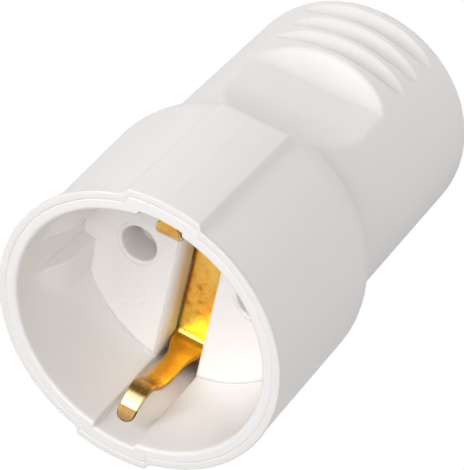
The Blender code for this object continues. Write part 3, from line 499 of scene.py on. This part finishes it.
near_line, near_wide = half_strip(flat_run + high_tip)
far_line, far_wide = half_strip(flat_run + low_tip)
line = np.vstack([near_line[:0:-1] * [-1, 1], far_line])
wide = np.concatenate([near_wide[:0:-1], far_wide])
along = np.gradient(line, axis=0)
along /= np.linalg.norm(along, axis=1)[:, None]
normal = np.column_stack([-along[:, 1], along[:, 0]])

# The strip's cross-section, in shares: place across, rounding of the side, and height
half_thick, side_round = 0.4, 0.1
section = [(u, 0.0, 1) for u in np.linspace(-1, 1, 13)]
section += [(1, math.cos(a), math.sin(a)) for a in np.linspace(math.pi / 2, -math.pi / 2, 7)[1:-1]]
section += [(u, 0.0, -1) for u in np.linspace(1, -1, 13)]
section += [(-1, -math.cos(a), math.sin(a)) for a in np.linspace(-math.pi / 2, math.pi / 2, 7)[1:-1]]
section = np.array(section)
half = wide[:, None] / 2
x = section[None, :, 0] * (half - side_round * np.minimum(1, half / 0.3)) + side_round * section[None, :, 1]
lift = half_thick * section[None, :, 2] * np.minimum(1, half / 0.25)
grid = np.stack([np.broadcast_to(x, lift.shape), line[:, :1] + normal[:, :1] * lift,
                 length - line[:, 1:] - normal[:, 1:] * lift], axis=-1) / 1000
ends = [grid[i].mean(axis=0) + (grid[i] - grid[i].mean(axis=0)) * 0.02 for i in (0, -1)]
grid = np.concatenate([ends[0][None], grid, ends[1][None]])
run = np.concatenate([[0], np.cumsum(np.linalg.norm(np.diff(line, axis=0), axis=1))])
run = run - run[len(near_line) - 1]
run = np.concatenate([run[:1], run, run[-1:]])
across = np.broadcast_to(section[None, :, 0] * 1.0, grid.shape[:2]).ravel()
strip = made("earth_strip_skin", [solid(grid, loop_rows=False)], along=np.repeat(run, len(section)) / 1000,
             across=across)
cleaner = bmesh.new()
cleaner.from_mesh(strip.data)
bmesh.ops.holes_fill(cleaner, edges=[edge for edge in cleaner.edges if edge.is_boundary], sides=0)
cleaner.to_mesh(strip.data)
cleaner.free()
strip.data.shade_smooth()

# What rolled and stamped metal shows: fine scratches along the rolling, cloudy tarnish, and places
# that are rubbed bright.
rolled, given, result = group(
    "rolled_metal",
    [("Vector", "Vector", None), ("Colour", "Color", None), ("Tarnish Colour", "Color", None),
     ("Rubbed Colour", "Color", None), ("Tarnish", "Float", 0.5), ("Rubbed", "Float", 0.3),
     ("Roughness", "Float", 0.3)],
    [("Colour", "Color"), ("Roughness", "Float"), ("Height", "Float")])
at = given["Vector"]
spots = put(rolled, "TexNoise", {"Vector": at, "Scale": 420.0, "Detail": 5.0, "Roughness": 0.62}).outputs[0]
patches = put(rolled, "TexNoise", {"Vector": at, "Scale": 130.0, "Detail": 3.0}).outputs[0]
lined = put(rolled, "Mapping", {"Vector": at, "Scale": (5200.0, 420.0, 420.0)}).outputs[0]
lines = put(rolled, "TexNoise", {"Vector": lined, "Scale": 1.0, "Detail": 3.0, "Roughness": 0.7}).outputs[0]
dull = math_node(rolled, "MULTIPLY", fade(rolled, spots, 0.44, 0.66), fade(rolled, patches, 0.36, 0.62))
dull = math_node(rolled, "MULTIPLY", dull, given["Tarnish"], clamp=True)
shine = math_node(rolled, "MULTIPLY", fade(rolled, math_node(rolled, "SUBTRACT", 1.0, patches), 0.46, 0.70),
                  given["Rubbed"], clamp=True)
base = blend(rolled, shine, given["Colour"], given["Rubbed Colour"])
base = blend(rolled, dull, base, given["Tarnish Colour"])
worn = math_node(rolled, "MULTIPLY_ADD", lines, 0.30, 0.85)
base = put(rolled, "VectorMath", {0: base, 3: worn}, operation="SCALE").outputs[0]
rolled.links.new(base, result["Colour"])
matt = math_node(rolled, "MULTIPLY_ADD", dull, 0.22, given["Roughness"])
rolled.links.new(math_node(rolled, "MULTIPLY_ADD", lines, 0.12, matt), result["Roughness"])
rolled.links.new(math_node(rolled, "MULTIPLY_ADD", lines, 0.6, spots), result["Height"])


def metal(name, colour, tarnish_colour, rubbed_colour, tarnish, rubbed, rough, marks=None):
    """A metal; marks may change the group's vector, colour and tarnish along a piece."""
    material = bpy.data.materials.new(name)
    material.use_nodes = True
    tree = material.node_tree
    shader = tree.nodes["Principled BSDF"]
    shader.inputs["Metallic"].default_value = 1.0
    skin = put(tree, "Group", {}, node_tree=rolled)
    for label, value in (("Colour", (*colour, 1)), ("Tarnish Colour", (*tarnish_colour, 1)),
                         ("Rubbed Colour", (*rubbed_colour, 1)), ("Tarnish", tarnish), ("Rubbed", rubbed),
                         ("Roughness", rough)):
        skin.inputs[label].default_value = value
    if marks:
        marks(tree, skin)
    else:
        tree.links.new(put(tree, "TexCoord", {}).outputs["Object"], skin.inputs["Vector"])
    bump = put(tree, "Bump", {"Height": skin.outputs["Height"], "Distance": 0.00003, "Strength": 0.5})
    tree.links.new(skin.outputs["Colour"], shader.inputs["Base Color"])
    tree.links.new(skin.outputs["Roughness"], shader.inputs["Roughness"])
    tree.links.new(bump.outputs[0], shader.inputs["Normal"])
    return material


def zone(tree, value, start, full, end, gone):
    """1 from full to end, falling smoothly to 0 at start before it and at gone after it."""
    after = math_node(tree, "SUBTRACT", 1.0, fade(tree, value, end, gone))
    return math_node(tree, "MULTIPLY", fade(tree, value, start, full), after)


def strip_marks(tree, skin):
    """Along the strip: painted light at the bends and near the tips, brown at the nips, the tip and the
    sheared edges.

    The distances are in metres along the strip, from its middle or back from the tip of a tongue.
    """
    along = put(tree, "Attribute", {}, attribute_name="along").outputs["Fac"]
    across = put(tree, "Attribute", {}, attribute_name="across").outputs["Fac"]
    place_of = put(tree, "TexCoord", {}).outputs["Object"]
    side = put(tree, "SeparateXYZ", {0: place_of}).outputs[0]
    vector = put(tree, "CombineXYZ", {0: side, 1: along, 2: 0.0}).outputs[0]
    tree.links.new(vector, skin.inputs["Vector"])
    reach = math_node(tree, "ABSOLUTE", along)
    tip = fade(tree, reach, tip_run - 0.0023, tip_run - 0.0020)
    nip = zone(tree, reach, tip_run - 0.0096, tip_run - 0.0074, tip_run - 0.0047, tip_run - 0.0040)
    edge_side = fade(tree, math_node(tree, "ABSOLUTE", across), 0.80, 0.98)
    # Painted highlight: a pale cream patch on each tongue's curl a little before its tip.
    painted_tip_highlight = zone(tree, reach, tip_run - 0.0047, tip_run - 0.0040, tip_run - 0.0023, tip_run - 0.0020)
    high = fade(tree, math_node(tree, "MULTIPLY", along, -1.0), tip_run - 0.0100, tip_run - 0.0085)
    # Painted reflection: a thin dark brown line just past each bend, under its highlight.
    painted_dark_line = zone(tree, reach, 0.0165, 0.0168, 0.0171, 0.0178)
    brown = math_node(tree, "MULTIPLY", painted_dark_line, 0.6)
    for mask, strength in ((nip, 0.75), (high, 0.5), (edge_side, 0.45)):
        brown = math_node(tree, "MAXIMUM", brown, math_node(tree, "MULTIPLY", mask, strength))
    # Painted light: a lighter yellow on the flat just before each bend, where the lamps fall on it.
    painted_bend_light = zone(tree, reach, 0.0095, 0.0148, 0.0158, 0.0175)
    # This colour holds the strip's own tints together with the painted light and the painted dark line.
    colour_with_painted_light = blend(tree, painted_bend_light, (0.94, 0.55, 0.10, 1), (1.0, 0.84, 0.16, 1))
    colour_with_painted_light = blend(tree, painted_tip_highlight, colour_with_painted_light, (1.0, 0.90, 0.50, 1))
    colour_with_painted_light = blend(tree, brown, colour_with_painted_light, (0.36, 0.15, 0.04, 1))
    # The low tongue also turns dark over a stretch a little before its tip.
    darker_before_tip = zone(tree, reach, tip_run - 0.0068, tip_run - 0.0056, tip_run - 0.0047, tip_run - 0.0041)
    tip = math_node(tree, "MAXIMUM", tip, math_node(tree, "MULTIPLY", darker_before_tip, 0.7))
    tip = math_node(tree, "MULTIPLY", tip, math_node(tree, "GREATER_THAN", along, 0.0))
    tree.links.new(blend(tree, tip, colour_with_painted_light, (0.17, 0.105, 0.04, 1)), skin.inputs["Colour"])
    clean = math_node(tree, "MULTIPLY_ADD", tip, -0.9, 1.0)
    tarnish = math_node(tree, "MULTIPLY_ADD", fade(tree, reach, 0.0095, 0.0148), -1.2, 1.5)
    tarnish = math_node(tree, "MAXIMUM", tarnish, high)
    tree.links.new(math_node(tree, "MULTIPLY", tarnish, clean), skin.inputs["Tarnish"])
    tree.links.new(math_node(tree, "MULTIPLY", clean, 0.5), skin.inputs["Rubbed"])


tip_run = float(run[-1]) / 1000
strip.data.materials.append(metal(
    "strip_brass", (0.88, 0.50, 0.09), (0.62, 0.23, 0.03), (0.98, 0.70, 0.22),
    tarnish=0.9, rubbed=0.5, rough=0.22, marks=strip_marks))
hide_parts("earth_strip")
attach(strip, "root")

# Contact carrier: the rear block with the two contact chambers and the tail of the cord clamp,
# moulded in a duller, harder plastic that stands the heat of a loose terminal.

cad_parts["contact_carrier"].material_slots[0].material = moulded(
    "carrier_plastic", (0.72, 0.70, 0.665), (0.32, 0.29, 0.26), 0.55, 0.5, cloud=0.05, specks=0.8, peel=1.6)

# Pole contacts and the earth clamp plate: a slit sleeve turned from brass rod with its square terminal
# block, and a stamped plate, both a little duller than the strip.

turned_brass = metal("turned_brass", (0.80, 0.52, 0.16), (0.50, 0.25, 0.07), (0.95, 0.72, 0.30),
                     tarnish=0.6, rubbed=0.4, rough=0.28)
for name in ("pole_contact_left", "pole_contact_right", "earth_clamp_plate"):
    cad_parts[name].material_slots[0].material = turned_brass

# Springs and screws: open rings of blued spring steel round the sleeves, and slotted screws with a
# bright zinc coat that has dulled in places.

spring_steel = metal("spring_steel", (0.50, 0.50, 0.52), (0.20, 0.19, 0.21), (0.70, 0.70, 0.72),
                     tarnish=0.5, rubbed=0.4, rough=0.30)
zinc = metal("zinc_plate", (0.68, 0.68, 0.70), (0.42, 0.41, 0.39), (0.88, 0.88, 0.90),
             tarnish=0.6, rubbed=0.5, rough=0.26)
for name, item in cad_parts.items():
    if name.startswith("contact_spring"):
        item.material_slots[0].material = spring_steel
    elif "screw" in name:
        item.material_slots[0].material = zinc

# Cord clamp saddle: a small arched bar of grey moulded plastic over the cord.

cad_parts["cord_clamp_saddle"].material_slots[0].material = moulded(
    "saddle_plastic", (0.60, 0.59, 0.575), (0.28, 0.27, 0.26), 0.50, 0.5, cloud=0.05, specks=0.6, peel=1.4)

# Floor, camera and lights

corners = np.array([(-1.5, -1.5), (1.5, -1.5), (1.5, 1.5), (-1.5, 1.5)])
floor = made("floor", [(np.column_stack([corners, np.full(4, -0.0005)]), np.array([[0, 1, 2, 3]]))])
ground = bpy.data.materials.new("ground")
ground.use_nodes = True
tree = ground.node_tree
paper = tree.nodes["Principled BSDF"]
paper.inputs["Base Color"].default_value = (0.9, 0.9, 0.9, 1)
glow = put(tree, "Emission", {"Color": (1, 1, 1, 1)})
seen = put(tree, "LightPath", {}).outputs["Is Camera Ray"]
mix = put(tree, "MixShader", {0: seen, 1: paper.outputs[0], 2: glow.outputs[0]})
tree.links.new(mix.outputs[0], tree.nodes["Material Output"].inputs["Surface"])
floor.data.materials.append(ground)

scene = bpy.context.scene
lens = bpy.data.cameras.new("camera")
camera = bpy.data.objects.new("camera", lens)
scene.collection.objects.link(camera)
scene.camera = camera
lens.sensor_width = 36
lens.lens = 191.92
right = np.array([-0.86237, -0.18510, -0.47122])
back = np.array([-0.27126, -0.61696, 0.73877])
back /= np.linalg.norm(back)
right -= back * right.dot(back)
right /= np.linalg.norm(right)
up = np.cross(back, right)
camera.matrix_world = Matrix(((right[0], up[0], back[0], -0.09855), (right[1], up[1], back[1], -0.22433),
                              (right[2], up[2], back[2], 0.31218), (0, 0, 0, 1)))


def lamp(name, direction, distance, size, power):
    """A square white area light that faces a point 45 mm above the floor from that direction."""
    data = bpy.data.lights.new(name, "AREA")
    data.size = size
    data.energy = power
    item = bpy.data.objects.new(name, data)
    scene.collection.objects.link(item)
    way = Vector(direction).normalized()
    item.location = way * distance + Vector((0, 0, 0.045))
    item.rotation_mode = "QUATERNION"
    item.rotation_quaternion = way.to_track_quat("Z", "Y")


lamp("upper_lamp", (-0.06, -0.40, 0.91), 0.6, 0.34, 1.3)
lamp("left_lamp", (0.55, -0.46, 0.70), 0.6, 0.30, 1.62)
lamp("right_lamp", (-0.78, 0.25, 0.45), 0.6, 0.34, 0.64)
lamp("front_lamp", (-0.27, -0.62, 0.74), 0.6, 0.30, 0.45)

world = bpy.data.worlds.new("studio")
scene.world = world
world.use_nodes = True
tree = world.node_tree
sky = tree.nodes["Background"]
sky.inputs["Color"].default_value = (1, 1, 1, 1)
sky.inputs["Strength"].default_value = 0.18
clear = put(tree, "Background", {"Color": (1, 1, 1, 1), "Strength": 1.0})
ray = put(tree, "LightPath", {}).outputs
seen = math_node(tree, "MAXIMUM", ray["Is Camera Ray"], ray["Is Glossy Ray"])
mix = put(tree, "MixShader", {0: seen, 1: sky.outputs[0], 2: clear.outputs[0]})
tree.links.new(mix.outputs[0], tree.nodes["World Output"].inputs["Surface"])
scene.view_settings.view_transform = "Standard"
